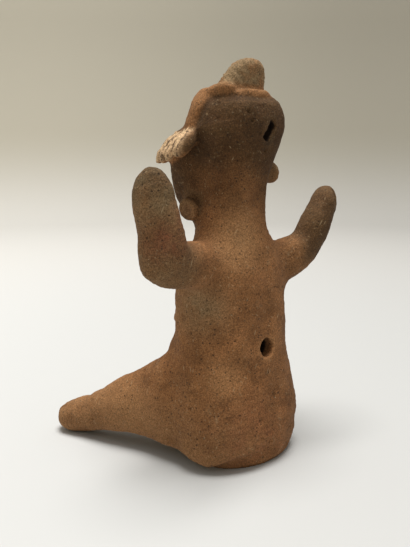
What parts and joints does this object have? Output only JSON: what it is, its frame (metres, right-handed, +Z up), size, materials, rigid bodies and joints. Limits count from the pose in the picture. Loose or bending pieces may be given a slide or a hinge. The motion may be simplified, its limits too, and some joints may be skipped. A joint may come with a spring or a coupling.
{
  "type": "seated terracotta figurine",
  "caption": "Small hand-built seated terracotta figure with both arms raised, brimmed headdress and crest, standing on its flat seat and heels.",
  "frame": {"origin": "on the floor, in the flat under the seat, below the middle of the trunk", "axes": "+Z up; the figure faces -Y; its left side is +X"},
  "size_m": [0.1292, 0.109, 0.18],
  "materials": {
    "terracotta": "unglazed low-fired orange-brown clay, sandy and matt, with grey-buff burial deposit, dark pits and worn light edges"
  },
  "bodies": {
    "root": {"figure": "terracotta"}
  },
  "joints": []
}
